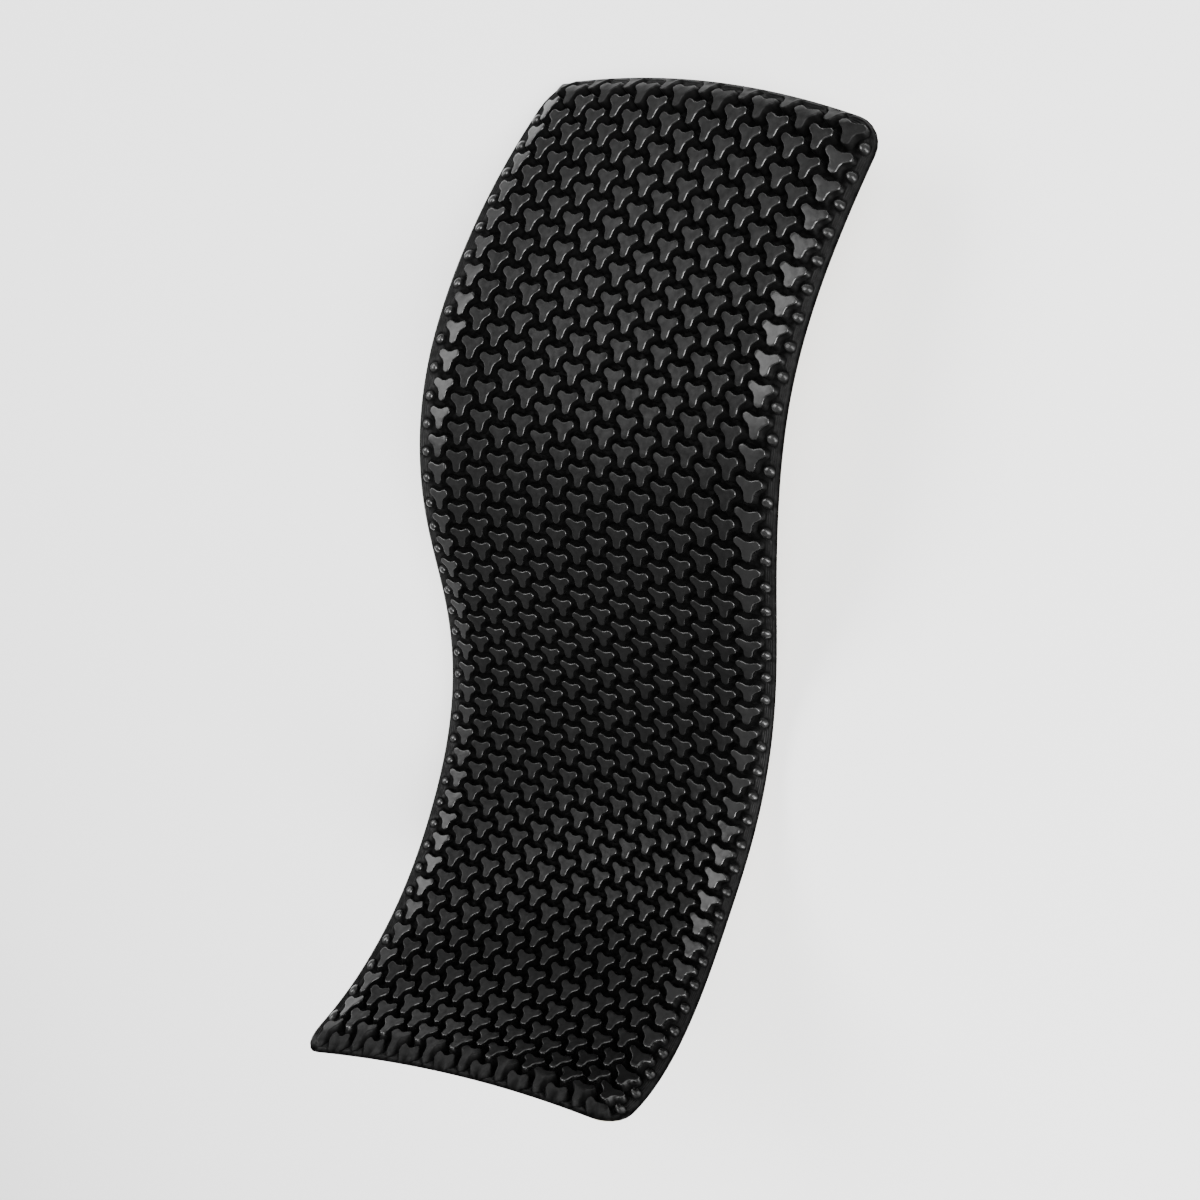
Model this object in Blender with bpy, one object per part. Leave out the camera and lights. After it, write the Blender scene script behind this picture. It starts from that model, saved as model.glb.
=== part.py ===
"""Snowboard stomp pad: a flexible moulded traction mat, its adhesive film and a split release liner.

The pad rests on its back in the S-wave that the free mat keeps. Across the pad is u, along it is v,
both measured on the stud tops, and depth goes from the stud tops into the pad.
"""
import math

import bpy
import numpy as np
from mathutils import Euler, Vector
from mathutils.geometry import delaunay_2d_cdt

# Driving dimensions, in metres.
PITCH = 0.0062                        # stud spacing along a column
COLUMN_STEP = PITCH * math.sqrt(3) / 2
COLUMNS = 16
STUDS_PER_COLUMN = 39
PAD_WIDTH = 14.8 * PITCH
PAD_LENGTH = 39.8 * PITCH
CORNER_RADIUS = PITCH
STUD_HEIGHT = 0.0027
WEB_THICKNESS = 0.0006
FILM_THICKNESS = 0.0003
LINER_THICKNESS = 0.0002
LAYER_GAP = 0.0001
LINER_SPLIT = 0.0006
LAYER_INSET = 0.2 * PITCH             # film and liner stop short of the mat's edge

# Stud shape: a three-lobed top on a three-cornered base, given by how far they reach from the centre.
LOBE_REACH = 0.50 * PITCH
NOTCH_REACH = 0.25 * PITCH
BASE_REACH = 0.58 * PITCH
LOBE_ANGLES = (270.0, 30.0, 150.0)
NOTCH_ANGLES = (330.0, 90.0, 210.0)
FLANGE_WIDTH = 0.1 * PITCH            # thin rim outside the bevelled studs
BEVEL_WIDTH = 1.2 * PITCH             # over which the studs rise to their full height
LOWEST_STUD = 0.25                    # height of a stud that meets the flange, as a share

# The S-wave: values at even stations over the span, from the near end (-v) to the far end (+v).
SPAN = 42 * PITCH
BEND = (24.2, 18.9, 14.7, -11.0, -0.2, -4.0)      # curvature along the pad, 1/m
TWIST = (17.6, 4.0, 17.1)                        # roll of the cross-section, degrees
ARCH = (-1.4, 9.4, 2.5, 8.6, -1.0)               # curvature across the pad, 1/m
BOW = (-2.1, -0.7, -2.2)                         # how far stud rows bow along the pad, 1/m
SWAY = (4.8, 14.0)                               # sideways turn at the end: linear, square; degrees

# Rest: how the wave is turned and moved to lie on its back on the ground plane.
REST_TURN = (21.03, 8.02, 0.0)                   # degrees about X, Y, Z
REST_SHIFT = (-0.00469, -0.01127, 0.01196)

# Facets: steps of the smooth faces, and points of the middle line.
STEPS_ALONG = 26
STEPS_ACROSS = 8
CORNER_STEPS = 3
LINE_POINTS = 421
NEARLY_FLAT = 1e-9                               # 1/m, so that no cross-section has a curvature of zero
WELD_GAP = 1e-7                                  # m, within which the web's points count as one


def stations(values, v):
    """A value that runs smoothly through its even stations over the span."""
    values = np.array(values)
    step = SPAN / (len(values) - 1)
    slope = np.gradient(values)
    along = (v + SPAN / 2) / step
    first = np.clip(np.floor(along).astype(int), 0, len(values) - 2)
    t = along - first
    value = values[first] * (1 + 2 * t) * (1 - t) ** 2 + values[first + 1] * (3 - 2 * t) * t ** 2
    return value + slope[first] * t * (1 - t) ** 2 - slope[first + 1] * t ** 2 * (1 - t)


def running_sum(rate, v):
    """The integral of a rate over v, zero at the middle of the pad."""
    step = (rate[1:] + rate[:-1]) / 2 * (v[1] - v[0])
    total = np.concatenate([[0.0], np.cumsum(step)])
    return total - np.interp(0.0, v, total)


def centre_line():
    """Stations v with the middle line's slope and position."""
    v = np.linspace(-SPAN / 2, SPAN / 2, LINE_POINTS)
    slope = running_sum(stations(BEND, v), v)
    return v, slope, [running_sum(part, v) for part in tangent(sway(v), slope).T]


def tangent(turn, slope):
    """Unit directions along the middle line."""
    return np.stack([np.sin(turn), np.cos(turn) * np.cos(slope), np.cos(turn) * np.sin(slope)], axis=1)


def sway(v):
    """Sideways turn of the middle line at v, in radians."""
    share = v / (PAD_LENGTH / 2)
    return np.radians(SWAY[0] * share + SWAY[1] * share ** 2)


LINE_V, LINE_SLOPE, LINE_POSITION = centre_line()


def place(u, v, depth):
    """World positions of points given across, along and below the stud tops, as an (n, 3) array."""
    u, v, depth = (np.asarray(a, dtype=float) for a in (u, v, depth))
    slope = np.interp(v, LINE_V, LINE_SLOPE)
    turn = sway(v)
    middle = np.stack([np.interp(v, LINE_V, part) for part in LINE_POSITION], axis=1)
    level = np.stack([np.cos(turn), -np.sin(turn) * np.cos(slope), -np.sin(turn) * np.sin(slope)], axis=1)
    lift = np.stack([0 * slope, -np.sin(slope), np.cos(slope)], axis=1)
    roll = np.radians(stations(TWIST, v))[:, None]
    across = np.cos(roll) * level + np.sin(roll) * lift
    normal = np.cos(roll) * lift - np.sin(roll) * level
    curve = stations(ARCH, v) + NEARLY_FLAT
    angle = curve * u
    outward = (np.sin(angle) / curve + depth * np.sin(angle))[:, None]
    upward = ((1 - np.cos(angle)) / curve - depth * np.cos(angle))[:, None]
    bow = (stations(BOW, v) * u ** 2)[:, None]
    points = middle + outward * across + upward * normal + bow * tangent(turn, slope)
    turned = points @ np.array(rest_matrix()).T
    return turned + np.array(REST_SHIFT)


def rest_matrix():
    """The turn that lays the wave on its back."""
    return Euler([math.radians(a) for a in REST_TURN], "XYZ").to_matrix()


def edge_distance(u, v):
    """How far a point lies inside the pad's rounded outline."""
    qu = abs(u) - PAD_WIDTH / 2 + CORNER_RADIUS
    qv = abs(v) - PAD_LENGTH / 2 + CORNER_RADIUS
    outside = math.hypot(max(qu, 0), max(qv, 0))
    return CORNER_RADIUS - outside - min(max(qu, qv), 0)


def rows(low, high, inset):
    """Rows (v, half width) of a facet grid between two v, inset from the pad's rounded outline."""
    straight = PAD_LENGTH / 2 - CORNER_RADIUS
    full = PAD_WIDTH / 2 - CORNER_RADIUS
    radius = CORNER_RADIUS - inset
    found = [(v, full + radius) for v in np.linspace(-straight, straight, STEPS_ALONG + 1)]
    for step in range(1, CORNER_STEPS + 1):
        angle = math.radians(90 * step / CORNER_STEPS)
        v = straight + radius * math.sin(angle)
        width = full + radius * math.cos(angle)
        found += [(v, width), (-v, width)]
    kept = [(v, w) for v, w in found if low < v < high]
    kept += [(v, full + radius) for v in (low, high) if abs(v) < straight]
    return sorted(kept)


def grid(row_list):
    """Points (u, v) of a facet grid and its triangles."""
    points = []
    for v, half_width in row_list:
        points += [(half_width * a, v) for a in np.linspace(-1, 1, STEPS_ACROSS + 1)]
    faces = []
    for row in range(len(row_list) - 1):
        for column in range(STEPS_ACROSS):
            a = row * (STEPS_ACROSS + 1) + column
            b = a + STEPS_ACROSS + 1
            faces += [(a, a + 1, b + 1), (a, b + 1, b)]
    return points, faces


def grid_ring(row_count):
    """Indices of a grid's outer points, once round."""
    width = STEPS_ACROSS + 1
    bottom = list(range(width))
    right = [width * row + width - 1 for row in range(1, row_count)]
    top = [width * (row_count - 1) + c for c in range(width - 2, -1, -1)]
    left = [width * row for row in range(row_count - 2, 0, -1)]
    return bottom + right + top + left


def close_rim(upper, lower):
    """Triangles of the wall between two rings of the same length."""
    faces = []
    for k in range(len(upper)):
        n = (k + 1) % len(upper)
        faces += [(upper[k], lower[k], lower[n]), (upper[k], lower[n], upper[n])]
    return faces


def make_node(name, points, faces, material):
    """One closed body from world points, with its faces turned outwards."""
    mesh = bpy.data.meshes.new(name)
    mesh.from_pydata([tuple(p) for p in points], [], faces)
    mesh.validate()
    node = bpy.data.objects.new(name, mesh)
    bpy.context.scene.collection.objects.link(node)
    mesh.materials.append(material)
    return node


def make_material(name, colour, roughness):
    """A plain Principled material."""
    material = bpy.data.materials.new(name)
    material.use_nodes = True
    shader = material.node_tree.nodes["Principled BSDF"]
    shader.inputs["Base Color"].default_value = (*colour, 1.0)
    shader.inputs["Roughness"].default_value = roughness
    return material


def stud_centres():
    """Stud centres: columns evenly across, alternate ones half a pitch further along."""
    for column in range(COLUMNS):
        u = (column - (COLUMNS - 1) / 2) * COLUMN_STEP
        stagger = PITCH / 4 if column % 2 else -PITCH / 4
        first = stagger - (STUDS_PER_COLUMN - 1) / 2 * PITCH
        for row in range(STUDS_PER_COLUMN):
            yield u, first + row * PITCH


def reach_points(u, v, reach, angles):
    """Points round a stud's centre at one reach."""
    return [(u + reach * math.cos(a), v + reach * math.sin(a)) for a in map(math.radians, angles)]


def stud_share(u, v):
    """Height of the studs at a point, as a share: full inside, sloping down to the flange."""
    rise = (edge_distance(u, v) - FLANGE_WIDTH) / BEVEL_WIDTH
    return min(max(rise, LOWEST_STUD), 1.0)


def web_faces(ring_points, bases):
    """Triangles of the web between the outline and the stud bases."""
    flat = list(ring_points)
    outlines = [list(range(len(flat)))]
    for base in bases:
        outlines.append([len(flat), len(flat) + 1, len(flat) + 2])
        flat += base
    result = delaunay_2d_cdt([Vector(p) for p in flat], [], outlines, 1, WELD_GAP, True)
    source = [ids[0] for ids in result[3]]
    faces = []
    for face, owners in zip(result[2], result[5]):
        if max(owners) == 0:
            faces.append(tuple(source[k] for k in face))
    return flat, faces


def stud_faces(lobes, notches, base):
    """Triangles of one stud: its top and its walls down to the three base corners."""
    faces = [tuple(notches)]
    for k in range(3):
        n = (k + 1) % 3
        faces += [(notches[k - 1], lobes[k], notches[k]), (lobes[k], base[k], notches[k])]
        faces += [(notches[k], base[k], base[n]), (notches[k], base[n], lobes[n])]
    return faces


def make_traction_mat(material):
    """The moulded mat: web, flange and studs in one body."""
    row_list = rows(-PAD_LENGTH, PAD_LENGTH, 0.0)
    under, under_faces = grid(row_list)
    ring = grid_ring(len(row_list))
    bases = [reach_points(u, v, BASE_REACH, LOBE_ANGLES) for u, v in stud_centres()]
    flat, faces = web_faces([under[k] for k in ring], bases)
    depths = [STUD_HEIGHT] * len(flat)
    for number, (u, v) in enumerate(stud_centres()):
        base = len(ring) + 3 * number
        top = len(flat)
        lobes = reach_points(u, v, LOBE_REACH, LOBE_ANGLES)
        notches = reach_points(u, v, NOTCH_REACH, NOTCH_ANGLES)
        flat += lobes + notches
        depths += [STUD_HEIGHT * (1 - stud_share(*point)) for point in lobes + notches]
        faces += stud_faces(range(top, top + 3), range(top + 3, top + 6), range(base, base + 3))
    offset = len(flat)
    flat += under
    depths += [STUD_HEIGHT + WEB_THICKNESS] * len(under)
    faces += [(offset + a, offset + c, offset + b) for a, b, c in under_faces]
    faces += close_rim(list(range(len(ring))), [offset + k for k in ring])
    u, v = np.array(flat).T
    return make_node("traction_mat", place(u, v, depths), faces, material)


def make_layer(name, low, high, depth, thickness, material):
    """A thin layer that follows the mat's back between two v."""
    row_list = rows(low, high, LAYER_INSET)
    points, faces = grid(row_list)
    count = len(points)
    ring = grid_ring(len(row_list))
    both = faces + [(count + a, count + c, count + b) for a, b, c in faces]
    both += close_rim(ring, [count + k for k in ring])
    u, v = np.array(points * 2).T
    depths = [depth] * count + [depth + thickness] * count
    return make_node(name, place(u, v, depths), both, material)


def build():
    """Clear the file and make the four bodies, from the studs down."""
    for item in list(bpy.data.objects):
        bpy.data.objects.remove(item)
    rubber = make_material("moulded_rubber", (0.018, 0.018, 0.02), 0.42)
    adhesive = make_material("adhesive", (0.55, 0.53, 0.48), 0.3)
    paper = make_material("liner_paper", (0.82, 0.8, 0.74), 0.55)
    make_traction_mat(rubber)
    film_depth = STUD_HEIGHT + WEB_THICKNESS + LAYER_GAP
    make_layer("adhesive_film", -PAD_LENGTH, PAD_LENGTH, film_depth, FILM_THICKNESS, adhesive)
    liner_depth = film_depth + FILM_THICKNESS + LAYER_GAP
    half = LINER_SPLIT / 2
    make_layer("liner_near_half", -PAD_LENGTH, -half, liner_depth, LINER_THICKNESS, paper)
    make_layer("liner_far_half", half, PAD_LENGTH, liner_depth, LINER_THICKNESS, paper)


build()
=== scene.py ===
"""Looks of the snowboard stomp pad: the fine studded mat, its adhesive film and its release liner.

Across the pad is u, along it is v, both measured on the stud tops, and depth goes from the stud tops
into the pad. The pad's own frame part makes its solids with the same surface, so the layers here lie
where the frame has them.
"""
import math

import bpy
import numpy as np
from mathutils import Euler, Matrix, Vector
from mathutils.geometry import delaunay_2d_cdt


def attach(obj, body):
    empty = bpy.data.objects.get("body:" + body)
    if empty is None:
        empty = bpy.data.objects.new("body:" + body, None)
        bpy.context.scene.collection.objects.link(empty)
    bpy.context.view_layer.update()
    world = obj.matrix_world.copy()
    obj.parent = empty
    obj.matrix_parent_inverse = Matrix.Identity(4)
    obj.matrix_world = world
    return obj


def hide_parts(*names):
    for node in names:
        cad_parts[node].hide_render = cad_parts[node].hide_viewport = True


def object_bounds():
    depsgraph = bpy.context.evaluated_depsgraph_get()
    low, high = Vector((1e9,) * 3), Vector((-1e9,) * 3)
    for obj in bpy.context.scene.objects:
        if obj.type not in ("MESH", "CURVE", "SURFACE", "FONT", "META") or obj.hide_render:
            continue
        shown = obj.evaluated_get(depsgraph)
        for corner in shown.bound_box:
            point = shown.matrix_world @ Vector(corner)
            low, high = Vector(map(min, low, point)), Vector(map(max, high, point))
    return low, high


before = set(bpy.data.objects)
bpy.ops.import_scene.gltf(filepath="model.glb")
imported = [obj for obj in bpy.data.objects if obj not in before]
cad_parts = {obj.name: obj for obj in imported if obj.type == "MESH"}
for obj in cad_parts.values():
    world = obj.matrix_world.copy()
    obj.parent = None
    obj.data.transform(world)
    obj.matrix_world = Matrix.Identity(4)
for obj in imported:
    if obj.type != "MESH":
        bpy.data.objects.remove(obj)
cad_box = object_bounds()

# Driving dimensions of the pad, in metres.
PITCH = 0.0062                        # stud spacing along a column
COLUMN_STEP = PITCH * math.sqrt(3) / 2
COLUMNS = 16
STUDS_PER_COLUMN = 39
STAGGER = 0.25 * PITCH                # odd columns start this much later, even ones this much earlier
PAD_WIDTH = 14.8 * PITCH
PAD_LENGTH = 39.8 * PITCH
CORNER_RADIUS = PITCH
CORNER_POINTS = 7                     # on each rounded corner of the outline
STUD_HEIGHT = 0.0027
WEB_THICKNESS = 0.0006
FILM_THICKNESS = 0.0003
LINER_THICKNESS = 0.0002
LAYER_GAP = 0.0001
LINER_SPLIT = 0.0006
LAYER_INSET = 0.2 * PITCH             # film and liner stop short of the mat's edge

# The S-wave: values at even stations over the span, from the near end (-v) to the far end (+v).
SPAN = 42 * PITCH
BEND = (24.2, 18.9, 14.7, -11.0, -0.2, -4.0)      # curvature along the pad, 1/m
TWIST = (17.6, 4.0, 17.1)                        # roll of the cross-section, degrees
ARCH = (-1.4, 9.4, 2.5, 8.6, -1.0)               # curvature across the pad, 1/m
BOW = (-2.1, -0.7, -2.2)                         # how far stud rows bow along the pad, 1/m
SWAY = (4.8, 14.0)                               # sideways turn at the end: linear, square; degrees
REST_TURN = (21.03, 8.02, 0.0)                   # how the wave lies on its back; degrees about X, Y, Z
REST_SHIFT = (-0.00469, -0.01127, 0.01196)
LINE_POINTS = 421                     # on the pad's middle line
NEARLY_FLAT = 1e-9                    # 1/m, so that no cross-section has a curvature of zero

# Stud outline: three round lobe tips joined by hollow sides.
TIP_CENTRE = 0.345 * PITCH
TIP_RADIUS = 0.16 * PITCH
NOTCH = 0.23 * PITCH                  # from the stud's centre to the middle of a hollow side
LOBE_ANGLES = (30.0, 150.0, 270.0)
TIP_POINTS = 5
SIDE_POINTS = 2
# Rings round a stud, from the flat top to the foot: outward offset in pitches, and drop as a share of the
# height. NUB_PROFILE is the same for a nub.
STUD_PROFILE = ((-0.04, 0.0), (-0.016, 0.025), (0.0, 0.10), (0.03, 0.80), (0.055, 0.97))

# Rim: a thin flange with fine ridges runs along the outline, round nubs stand on it along the two sides, and
# the studs slope down to it.
FLANGE_WIDTH = 0.38 * PITCH
BEVEL_START = 0.1 * PITCH             # inside the outline, where the studs are lowest
BEVEL_WIDTHS = (1.2 * PITCH, 0.5 * PITCH)        # over which studs rise to full height, at sides and ends
LOWEST_STUD = 0.25                    # share of the full height
RIM_GAP = 0.05 * PITCH                # clear of studs inside the outline
FLANGE_GROOVE = 0.75                  # how dull the flange is, as if it lay this deep between studs; it also gets that much painted shade in its base colour
END_GROOVE = 0.75                     # the same, gloss and painted shade, for the sloping studs at the two ends
SIDE_GROOVE = 0.01                    # and along the two sides, where they shine more than other studs
RIDGE_COUNT = 4
RIDGE_HEIGHT = 0.03 * PITCH
RIM_ROUND = 0.03 * PITCH
RIM_STEP = 0.12 * PITCH
NUB_POINTS = 14
NUB_MARGIN = 0.3 * PITCH              # least distance of a nub's centre from the outline
NUB_PROFILE = ((-0.13, -0.02), (-0.08, 0.03), (-0.03, 0.16), (0.01, 0.45), (0.05, 0.95))
FOOT_GAP = 0.03 * PITCH               # between a stud's foot and the points of the flange round it
SHEET_STEP = 0.5 * PITCH              # spacing of the smooth faces' points
MERGE_GAP = 1e-8                      # points closer than this are one
SHARP_ANGLE = 60.0                    # degrees between faces that meet at a sharp edge

# Rubber gloss by how deep a point lies between studs: (groove value, roughness) and (groove value, specular).
# A groove value runs from 0 on a stud top to 1 on the web, and moulded_rubber also paints shade with it,
# darkening the base colour as it rises.
RUBBER_ROUGHNESS = ((0.0, 0.45), (0.02, 0.24), (0.3, 0.26), (1.0, 0.7))
RUBBER_SPECULAR = ((0.0, 0.11), (0.02, 0.5), (0.3, 0.35), (1.0, 0.01))
NOISE_RANGE = (0.3, 0.7)              # where nearly all values of a noise texture lie

# Camera: a 25.5 mm lens on a 36 mm frame, above the pad's right-hand side.
CAMERA_PLACE = (0.10344, 0.04163, 0.17908)
CAMERA_TURN = (-10.25, 33.35, 4.90)              # Euler XYZ, degrees
CAMERA_LENS = 25.5
CAMERA_NEAR = 0.01

# Studio: softboxes by azimuth from +Y and elevation, both in degrees and seen from the pad; power in watts.
FLOOR_SIZE = 12.0
WORLD_STRENGTH = 1.0
SOFTBOXES = {
    "key": {"azimuth": 298.0, "elevation": 48.0, "distance": 1.2, "size": (0.9, 0.6), "power": 16.0},
    "rim": {"azimuth": 108.0, "elevation": 40.0, "distance": 1.2, "size": (0.5, 0.8), "power": 34.0},
    "fill": {"azimuth": 60.0, "elevation": 62.0, "distance": 1.5, "size": (0.8, 0.8), "power": 16.0},
}


def stations(values, v):
    """A value that runs smoothly through its even stations over the span."""
    values = np.array(values)
    step = SPAN / (len(values) - 1)
    slope = np.gradient(values)
    along = (v + SPAN / 2) / step
    first = np.clip(np.floor(along).astype(int), 0, len(values) - 2)
    t = along - first
    value = values[first] * (1 + 2 * t) * (1 - t) ** 2 + values[first + 1] * (3 - 2 * t) * t ** 2
    return value + slope[first] * t * (1 - t) ** 2 - slope[first + 1] * t ** 2 * (1 - t)


def running_sum(rate, v):
    """The integral of a rate over v, zero at the middle of the pad."""
    step = (rate[1:] + rate[:-1]) / 2 * (v[1] - v[0])
    total = np.concatenate([[0.0], np.cumsum(step)])
    return total - np.interp(0.0, v, total)


def sway(v):
    """Sideways turn of the middle line at v, in radians."""
    share = v / (PAD_LENGTH / 2)
    return np.radians(SWAY[0] * share + SWAY[1] * share ** 2)


def centre_line():
    """Stations v with the middle line's slope and position."""
    v = np.linspace(-SPAN / 2, SPAN / 2, LINE_POINTS)
    slope = running_sum(stations(BEND, v), v)
    return v, slope, [running_sum(part, v) for part in tangent(sway(v), slope).T]


def tangent(turn, slope):
    """Unit directions along the middle line."""
    return np.stack([np.sin(turn), np.cos(turn) * np.cos(slope), np.cos(turn) * np.sin(slope)], axis=1)


LINE_V, LINE_SLOPE, LINE_POSITION = centre_line()


def place(flat, depth):
    """World positions of flat points (u, v) at depths below the stud tops."""
    u, v = flat.T
    slope = np.interp(v, LINE_V, LINE_SLOPE)
    turn = sway(v)
    middle = np.stack([np.interp(v, LINE_V, part) for part in LINE_POSITION], axis=1)
    level = np.stack([np.cos(turn), -np.sin(turn) * np.cos(slope), -np.sin(turn) * np.sin(slope)], axis=1)
    lift = np.stack([0 * slope, -np.sin(slope), np.cos(slope)], axis=1)
    roll = np.radians(stations(TWIST, v))[:, None]
    across = np.cos(roll) * level + np.sin(roll) * lift
    normal = np.cos(roll) * lift - np.sin(roll) * level
    curve = stations(ARCH, v) + NEARLY_FLAT
    angle = curve * u
    outward = (np.sin(angle) / curve + depth * np.sin(angle))[:, None]
    upward = ((1 - np.cos(angle)) / curve - depth * np.cos(angle))[:, None]
    bow = (stations(BOW, v) * u ** 2)[:, None]
    points = middle + outward * across + upward * normal + bow * tangent(turn, slope)
    rest = Euler([math.radians(a) for a in REST_TURN], "XYZ").to_matrix()
    return points @ np.array(rest).T + np.array(REST_SHIFT)


def edge_distance(flat):
    """How far flat points lie inside the pad's rounded outline."""
    q = np.abs(flat) - np.array([PAD_WIDTH / 2, PAD_LENGTH / 2]) + CORNER_RADIUS
    outside = np.hypot(np.maximum(q[:, 0], 0), np.maximum(q[:, 1], 0))
    return CORNER_RADIUS - outside - np.minimum(q.max(axis=1), 0)


def polar(radius, angle):
    """The flat point at a radius and an angle in radians."""
    return np.array([radius * math.cos(angle), radius * math.sin(angle)])


def stud_ring(offset):
    """One ring round a stud: its outline, moved outwards by an offset."""
    inset = TIP_RADIUS - NOTCH
    side_centre = (TIP_CENTRE ** 2 - inset ** 2) / (TIP_CENTRE + 2 * inset)
    side_radius = side_centre - NOTCH
    turn = math.radians(60)           # from a lobe to the hollow side next to it
    along, aside = side_centre * math.cos(turn) - TIP_CENTRE, side_centre * math.sin(turn)
    tip_sweep = math.atan2(aside, along)
    side_sweep = math.asin(TIP_CENTRE * math.sin(turn) / (side_radius + TIP_RADIUS))
    ring = []
    for lobe in np.radians(LOBE_ANGLES):
        for a in np.linspace(-tip_sweep, tip_sweep, TIP_POINTS):
            ring.append(polar(TIP_CENTRE, lobe) + polar(TIP_RADIUS + offset, lobe + a))
        side = lobe + turn
        for a in np.linspace(side_sweep, -side_sweep, SIDE_POINTS + 2)[1:-1]:
            ring.append(polar(side_centre, side) + polar(side_radius - offset, side + math.pi + a))
    return np.array(ring)


def column_sites(column):
    """Where the studs of one column lie, with one more past each end, since the rim cuts through some."""
    u = (column - (COLUMNS - 1) / 2) * COLUMN_STEP
    first = -(STUDS_PER_COLUMN - 1) / 2 * PITCH + (STAGGER if column % 2 else -STAGGER)
    return np.array([(u, first + row * PITCH) for row in range(-1, STUDS_PER_COLUMN + 1)])


def stud_centres():
    """The studs whose centres lie well inside the outline."""
    centres = np.vstack([column_sites(column) for column in range(-1, COLUMNS + 1)])
    return centres[edge_distance(centres) > BEVEL_START]


def nub_centres():
    """Nubs: the lobes that studs of the next column outwards would have on the pad."""
    next_columns = ((-1, LOBE_ANGLES[0]), (COLUMNS, LOBE_ANGLES[1]))
    centres = np.vstack([column_sites(column) + polar(TIP_CENTRE, math.radians(angle))
                         for column, angle in next_columns])
    return centres[edge_distance(centres) > NUB_MARGIN]


def nub_ring(offset):
    """One ring round a nub: a circle of a lobe tip's radius, moved outwards by an offset."""
    return np.array([polar(TIP_RADIUS + offset, a) for a in np.linspace(0, 2 * math.pi, NUB_POINTS, False)])


def clear_of(points, centres, foot):
    """Whether flat points lie outside the feet, given by one ring, of the studs at the centres."""
    reach = np.hypot(*foot.T) + FOOT_GAP
    bearing = np.arctan2(foot[:, 1], foot[:, 0])
    order = np.argsort(bearing)
    away = points[:, None] - centres[None]
    turn = np.arctan2(away[..., 1], away[..., 0])
    limit = np.interp(turn, bearing[order], reach[order], period=2 * math.pi)
    return (np.hypot(away[..., 0], away[..., 1]) > limit).all(axis=1)


def outline_ring(inset):
    """The pad's outline moved inwards, with the same number of points at every inset."""
    half_u, half_v = PAD_WIDTH / 2 - CORNER_RADIUS, PAD_LENGTH / 2 - CORNER_RADIUS
    radius = CORNER_RADIUS - inset
    corners = ((half_u, half_v, 0), (-half_u, half_v, 90), (-half_u, -half_v, 180), (half_u, -half_v, 270))
    ring = []
    for number, (u, v, start) in enumerate(corners):
        turn = np.radians(np.linspace(start, start + 90, CORNER_POINTS))
        ring += [np.array([u, v]) + polar(radius, a) for a in turn]
        next_u, next_v, next_start = corners[(number + 1) % 4]
        end = np.array([next_u, next_v]) + polar(radius, math.radians(next_start))
        side = PAD_LENGTH if number % 2 else PAD_WIDTH
        steps = round(side / RIM_STEP)
        ring += [ring[-1] + (end - ring[-1]) * step / steps for step in range(1, steps)]
    return np.array(ring)


class FlatMesh:
    """Flat points with depths, and the edges that their triangles keep. Its first ring is its outline.

    Each point also has a groove value, and those of the outline have the web's.
    """

    def __init__(self, outline, depth):
        self.points = [outline]
        self.depths = [np.full(len(outline), depth)]
        self.grooves = [np.ones(len(outline))]
        self.edges = []
        self.outline_count = len(outline)
        self.count = len(outline)

    def add(self, points, depths, groove=0.0):
        self.points.append(points)
        self.depths.append(np.broadcast_to(depths, len(points)))
        self.grooves.append(np.full(len(points), groove))
        self.count += len(points)

    def add_ring(self, points, depths, groove, kept):
        """A closed ring, or the stretches of it that are kept."""
        index = np.where(kept, self.count - 1 + np.cumsum(kept), -1)
        self.add(points[kept], np.broadcast_to(depths, len(points))[kept], groove)
        self.edges += [(int(a), int(b)) for a, b in zip(index, np.roll(index, -1)) if min(a, b) >= 0]

    def triangles(self):
        """All points with their depths, and the triangles inside the outline."""
        points = np.vstack(self.points)
        outline = list(range(self.outline_count))
        corners = [Vector(point) for point in points]
        _, _, faces, sources, _, _ = delaunay_2d_cdt(corners, self.edges, [outline], 1, MERGE_GAP, True)
        faces = [tuple(sources[k][0] for k in face) for face in faces]
        return points, np.concatenate(self.depths), faces


def border_heights(flat):
    """Height shares of the studs at flat points, as the sides and as the ends slope them to the flange."""
    inside = np.array([PAD_WIDTH / 2, PAD_LENGTH / 2]) - np.abs(flat) - BEVEL_START
    heights = LOWEST_STUD + (1 - LOWEST_STUD) * inside / np.array(BEVEL_WIDTHS)
    return np.clip(heights, LOWEST_STUD, 1.0).T


def groove_middles(studs, stud_foot, nubs, nub_foot):
    """The points of the web that lie in the middle of three studs, inside the flange."""
    corners = np.array([polar(PITCH / math.sqrt(3), math.radians(a)) for a in (0, 60)])
    middles = (studs[:, None] + corners[None]).reshape(-1, 2)
    inside = edge_distance(middles) > FLANGE_WIDTH + RIM_GAP
    clear = clear_of(middles, studs, stud_foot) & clear_of(middles, nubs, nub_foot)
    return middles[inside & clear]


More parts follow.
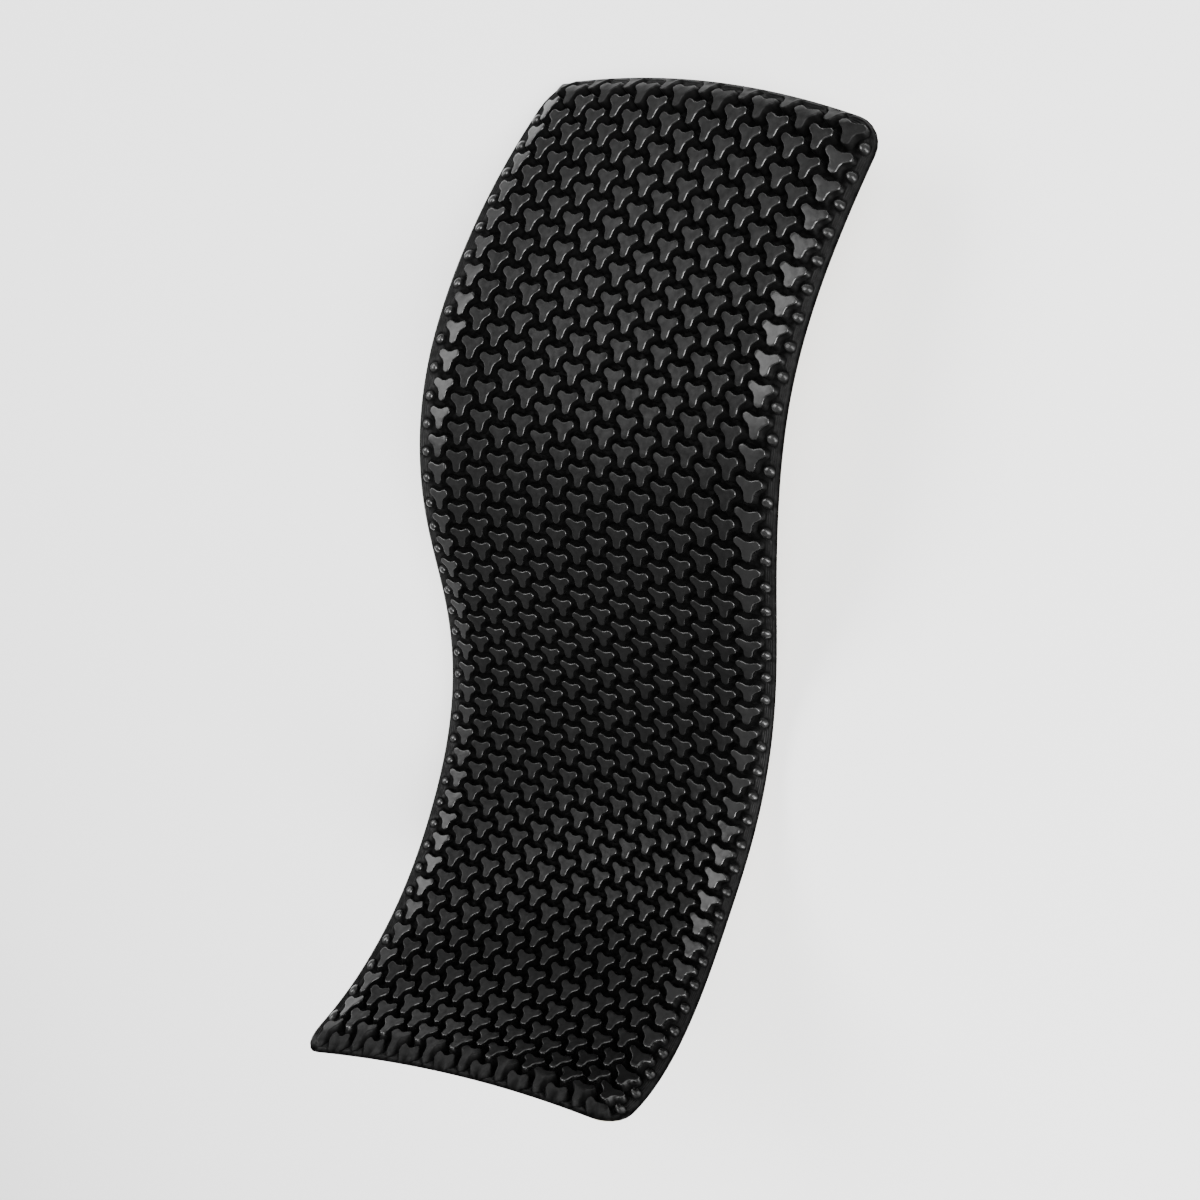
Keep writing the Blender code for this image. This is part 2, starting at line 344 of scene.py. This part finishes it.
def studded_face():
    """The mat's front: rim, ridged flange, grooves and studs."""
    front = FlatMesh(outline_ring(0.0), STUD_HEIGHT + RIM_ROUND)
    studs, nubs = stud_centres(), nub_centres()
    stud_rings = [(stud_ring(offset * PITCH), drop) for offset, drop in STUD_PROFILE]
    nub_rings = [(nub_ring(offset * PITCH), drop) for offset, drop in NUB_PROFILE]
    stud_foot, nub_foot = stud_rings[-1][0], nub_rings[-1][0]
    steps = 2 * RIDGE_COUNT
    for step in range(1, steps + 1):
        ring = outline_ring(RIM_GAP + (FLANGE_WIDTH - RIM_GAP) * step / steps)
        kept = clear_of(ring, studs, stud_foot) & clear_of(ring, nubs, nub_foot)
        front.add_ring(ring, STUD_HEIGHT - RIDGE_HEIGHT * (step % 2), FLANGE_GROOVE, kept)
    for centres, rings in ((studs, stud_rings), (nubs, nub_rings)):
        for centre in centres:
            for ring, drop in rings:
                points = centre + ring
                side, end = border_heights(points)
                depths = STUD_HEIGHT * (1 - np.minimum(side, end) * (1 - drop))
                # The groove value dulls a ring and, as painted shade, darkens its base colour.
                groove = max(drop, SIDE_GROOVE * (side < 1).any(), END_GROOVE * (end < 1).any())
                front.add_ring(points, depths, groove, edge_distance(points) > RIM_GAP)
    front.add(groove_middles(studs, stud_foot, nubs, nub_foot), STUD_HEIGHT, 1.0)
    return front


def smooth_face(outline, depth):
    """A smooth face inside an outline, with even points so that it bends well."""
    face = FlatMesh(outline, depth)
    low, high = outline.min(axis=0), outline.max(axis=0)
    columns, rows = ((high - low) / SHEET_STEP).round().astype(int)
    u, v = np.meshgrid(np.linspace(low[0], high[0], columns + 1), np.linspace(low[1], high[1], rows + 1))
    inner = np.stack([u[1:-1, 1:-1].ravel(), v[1:-1, 1:-1].ravel()], axis=1)
    margin = edge_distance(outline).min()
    face.add(inner[edge_distance(inner) > margin + SHEET_STEP / 3], depth)
    return face.triangles()


def layer_outline(low, high):
    """The outline of a film or liner piece between two v, inset from the mat's edge."""
    ring = outline_ring(LAYER_INSET)
    kept = (ring[:, 1] > low) & (ring[:, 1] < high)
    if kept.all():
        return ring
    first = int(np.argmax(kept & ~np.roll(kept, 1)))
    ring = np.roll(ring, -first, axis=0)[np.roll(kept, -first)]
    cut = low if abs(low) < PAD_LENGTH / 2 else high
    across = np.linspace(ring[-1, 0], ring[0, 0], round(PAD_WIDTH / SHEET_STEP))
    return np.vstack([ring, np.stack([across, np.full(len(across), cut)], axis=1)])


def closed_sheet(name, front, back, outline_count, material):
    """One closed body from a front and a back whose first points are the same outline."""
    front_points, front_depths, front_faces = front
    back_points, back_depths, back_faces = back
    shift = len(front_points)
    faces = front_faces + [(shift + a, shift + c, shift + b) for a, b, c in back_faces]
    for a in range(outline_count):
        b = (a + 1) % outline_count
        faces.append((a, shift + a, shift + b, b))
    depths = np.concatenate([front_depths, back_depths])
    mesh = bpy.data.meshes.new(name)
    mesh.from_pydata(place(np.vstack([front_points, back_points]), depths).tolist(), [], faces)
    mesh.shade_smooth()
    mesh.set_sharp_from_angle(angle=math.radians(SHARP_ANGLE))
    mesh.materials.append(material)
    piece = bpy.data.objects.new(name, mesh)
    bpy.context.scene.collection.objects.link(piece)
    return piece


def make_mat():
    """The moulded mat, with its normals weighted so that the stud tops stay flat up to their rounding."""
    outline = outline_ring(0.0)
    front = studded_face()
    back = smooth_face(outline, STUD_HEIGHT + WEB_THICKNESS)
    mat = closed_sheet("studded_mat", front.triangles(), back, len(outline), moulded_rubber())
    # The groove values set the rubber's gloss and its painted shade: a darker base colour between the studs,
    # on the flange and on the end studs.
    grooves = np.ones(len(mat.data.vertices))
    grooves[:front.count] = np.concatenate(front.grooves)
    mat.data.attributes.new("groove", "FLOAT", "POINT").data.foreach_set("value", grooves)
    weighted = mat.modifiers.new("flat_tops", "WEIGHTED_NORMAL")
    weighted.keep_sharp = True
    return mat


def make_layer(name, low, high, depth, thickness, material):
    """The film, or the half of the liner between two v."""
    outline = layer_outline(low, high)
    front = smooth_face(outline, depth)
    back = smooth_face(outline, depth + thickness)
    return closed_sheet(name, front, back, len(outline), material)


class Nodes:
    """A material's node tree, with short calls for what the materials below share."""

    def __init__(self, name):
        self.material = bpy.data.materials.new(name)
        self.material.use_nodes = True
        self.tree = self.material.node_tree
        self.shader = self.tree.nodes["Principled BSDF"]
        self.coordinates = self.tree.nodes.new("ShaderNodeTexCoord").outputs["Object"]

    def link(self, output, target):
        """Joins a node's output to another node's input."""
        self.tree.links.new(output, target)

    def noise(self, scale, detail=4.0, stretch=(1.0, 1.0, 1.0)):
        """Noise over the object's own coordinates; scale is features per metre."""
        mapping = self.tree.nodes.new("ShaderNodeMapping")
        mapping.inputs["Scale"].default_value = stretch
        noise = self.tree.nodes.new("ShaderNodeTexNoise")
        noise.inputs["Scale"].default_value = scale
        noise.inputs["Detail"].default_value = detail
        self.link(self.coordinates, mapping.inputs["Vector"])
        self.link(mapping.outputs["Vector"], noise.inputs["Vector"])
        return noise.outputs["Fac"]

    def spread(self, value, low, high):
        """Noise values, which lie near the middle, spread to between low and high."""
        node = self.tree.nodes.new("ShaderNodeMapRange")
        node.inputs["From Min"].default_value = NOISE_RANGE[0]
        node.inputs["From Max"].default_value = NOISE_RANGE[1]
        node.inputs["To Min"].default_value = low
        node.inputs["To Max"].default_value = high
        self.link(value, node.inputs["Value"])
        return node.outputs["Result"]

    def attribute(self, name):
        """A value stored on the mesh's points."""
        node = self.tree.nodes.new("ShaderNodeAttribute")
        node.attribute_name = name
        return node.outputs["Fac"]

    def mixed(self, share, first, second):
        """A value that goes from a node's value to a number as the share goes from 0 to 1."""
        node = self.tree.nodes.new("ShaderNodeMix")
        self.link(share, node.inputs["Factor"])
        self.link(first, node.inputs["A"])
        node.inputs["B"].default_value = second
        return node.outputs["Result"]

    def steps(self, share, stops):
        """A value that runs straight between (share, value) stops."""
        ramp = self.tree.nodes.new("ShaderNodeValToRGB")
        while len(ramp.color_ramp.elements) < len(stops):
            ramp.color_ramp.elements.new(0.5)
        for element, (position, value) in zip(ramp.color_ramp.elements, stops):
            element.position = position
            element.color = (value, value, value, 1.0)
        self.link(share, ramp.inputs["Fac"])
        return ramp.outputs["Color"]

    def added(self, first, second):
        """The sum of two values."""
        node = self.tree.nodes.new("ShaderNodeMath")
        self.link(first, node.inputs[0])
        self.link(second, node.inputs[1])
        return node.outputs["Value"]

    def colours(self, value, dark, light):
        """Base colour between two colours, by a noise value."""
        ramp = self.tree.nodes.new("ShaderNodeValToRGB")
        for element, position, colour in zip(ramp.color_ramp.elements, NOISE_RANGE, (dark, light)):
            element.position = position
            element.color = (*colour, 1.0)
        self.link(value, ramp.inputs["Fac"])
        self.link(ramp.outputs["Color"], self.shader.inputs["Base Color"])

    def bumps(self, *layers):
        """Stacked bump maps, each given as (height value, height in metres)."""
        normal = None
        for height, distance in layers:
            bump = self.tree.nodes.new("ShaderNodeBump")
            bump.inputs["Distance"].default_value = distance
            self.link(height, bump.inputs["Height"])
            if normal:
                self.link(normal, bump.inputs["Normal"])
            normal = bump.outputs["Normal"]
        self.link(normal, self.shader.inputs["Normal"])


def moulded_rubber():
    """Satin black rubber: glossier on the studs' rounded edges and dull down in the grooves, with painted
    shade that darkens its base colour in the grooves, on the flange and on the sloping end studs.
    """
    nodes = Nodes("moulded_rubber")
    groove = nodes.attribute("groove")
    tone = nodes.spread(nodes.noise(140.0), 0.0025, 0.004)
    # Painted shade: the base colour goes from the noisy tone towards a darker 0.0018 as the groove value
    # rises, down between the studs, on the flange and on the sloping end studs.
    nodes.link(nodes.mixed(groove, tone, 0.0018), nodes.shader.inputs["Base Color"])
    gloss = nodes.spread(nodes.noise(420.0, 6.0), -0.05, 0.05)
    roughness = nodes.added(nodes.steps(groove, RUBBER_ROUGHNESS), gloss)
    nodes.link(roughness, nodes.shader.inputs["Roughness"])
    shine = nodes.spread(nodes.noise(800.0, 6.0), -0.04, 0.04)
    specular = nodes.added(nodes.steps(groove, RUBBER_SPECULAR), shine)
    nodes.link(specular, nodes.shader.inputs["Specular IOR Level"])
    waviness, grain, fine_grain = nodes.noise(260.0, 2.0), nodes.noise(900.0), nodes.noise(3200.0)
    nodes.bumps((waviness, 0.00012), (grain, 0.00004), (fine_grain, 0.00001))
    return nodes.material


def adhesive():
    """Pale pressure-sensitive film: glossy, a little cloudy, with a faint orange peel."""
    nodes = Nodes("adhesive")
    nodes.colours(nodes.noise(90.0), (0.50, 0.48, 0.42), (0.60, 0.57, 0.50))
    nodes.link(nodes.spread(nodes.noise(300.0), 0.18, 0.34), nodes.shader.inputs["Roughness"])
    nodes.bumps((nodes.noise(500.0, 2.0), 0.00008), (nodes.noise(2600.0), 0.00001))
    return nodes.material


def liner_paper():
    """Off-white siliconised paper: short fibres, cloudy formation and a low sheen."""
    nodes = Nodes("liner_paper")
    nodes.colours(nodes.noise(160.0, 8.0), (0.58, 0.54, 0.44), (0.70, 0.67, 0.57))
    nodes.link(nodes.spread(nodes.noise(700.0), 0.46, 0.62), nodes.shader.inputs["Roughness"])
    fibres = nodes.noise(1600.0, 3.0, (1.0, 0.18, 1.0))
    nodes.bumps((nodes.noise(120.0, 2.0), 0.00010), (fibres, 0.00002))
    return nodes.material


def pale_floor():
    """Matt, nearly even light grey."""
    nodes = Nodes("pale_floor")
    nodes.colours(nodes.noise(0.8, 2.0), (0.86, 0.86, 0.86), (0.88, 0.88, 0.88))
    nodes.link(nodes.spread(nodes.noise(4.0), 0.75, 0.85), nodes.shader.inputs["Roughness"])
    return nodes.material


def towards(azimuth, elevation):
    """Unit direction from the pad; azimuth 0 is +Y and 90 is +X."""
    a, e = math.radians(azimuth), math.radians(elevation)
    return Vector((math.sin(a) * math.cos(e), math.cos(a) * math.cos(e), math.sin(e)))


def make_softbox(name, target, azimuth, elevation, distance, size, power):
    """One rectangular light that faces the target."""
    data = bpy.data.lights.new(name, "AREA")
    data.shape = "RECTANGLE"
    data.size, data.size_y = size
    data.energy = power
    light = bpy.data.objects.new(name, data)
    light.location = target + towards(azimuth, elevation) * distance
    light.rotation_euler = (light.location - target).to_track_quat("Z", "Y").to_euler()
    bpy.context.scene.collection.objects.link(light)


def make_studio(target):
    """Floor, background and softboxes."""
    mesh = bpy.data.meshes.new("floor")
    half = FLOOR_SIZE / 2
    corners = [(-half, -half, 0), (half, -half, 0), (half, half, 0), (-half, half, 0)]
    mesh.from_pydata(corners, [], [(0, 1, 2, 3)])
    mesh.materials.append(pale_floor())
    floor = bpy.data.objects.new("floor", mesh)
    bpy.context.scene.collection.objects.link(floor)
    world = bpy.data.worlds.new("studio")
    world.use_nodes = True
    background = world.node_tree.nodes["Background"]
    background.inputs["Color"].default_value = (1.0, 1.0, 1.0, 1.0)
    background.inputs["Strength"].default_value = WORLD_STRENGTH
    bpy.context.scene.world = world
    for name, facts in SOFTBOXES.items():
        make_softbox(name, target, **facts)


def make_camera():
    """The photo's viewpoint."""
    data = bpy.data.cameras.new("camera")
    data.lens = CAMERA_LENS
    data.clip_start = CAMERA_NEAR
    camera = bpy.data.objects.new("camera", data)
    camera.location = CAMERA_PLACE
    camera.rotation_euler = [math.radians(a) for a in CAMERA_TURN]
    bpy.context.scene.collection.objects.link(camera)
    bpy.context.scene.camera = camera


def dress_pad():
    """The visible pieces, each in place of its frame node."""
    mat = make_mat()
    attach(mat, "pad")
    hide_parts("traction_mat")
    film_depth = STUD_HEIGHT + WEB_THICKNESS + LAYER_GAP
    film = make_layer("film", -PAD_LENGTH, PAD_LENGTH, film_depth, FILM_THICKNESS, adhesive())
    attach(film, "pad")
    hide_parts("adhesive_film")
    paper = liner_paper()
    liner_depth = film_depth + FILM_THICKNESS + LAYER_GAP
    half = LINER_SPLIT / 2
    for side, low, high in (("near", -PAD_LENGTH, -half), ("far", half, PAD_LENGTH)):
        liner = make_layer(f"paper_{side}_half", low, high, liner_depth, LINER_THICKNESS, paper)
        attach(liner, "release_liner")
        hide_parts(f"liner_{side}_half")


dress_pad()
make_studio((cad_box[0] + cad_box[1]) / 2)
make_camera()
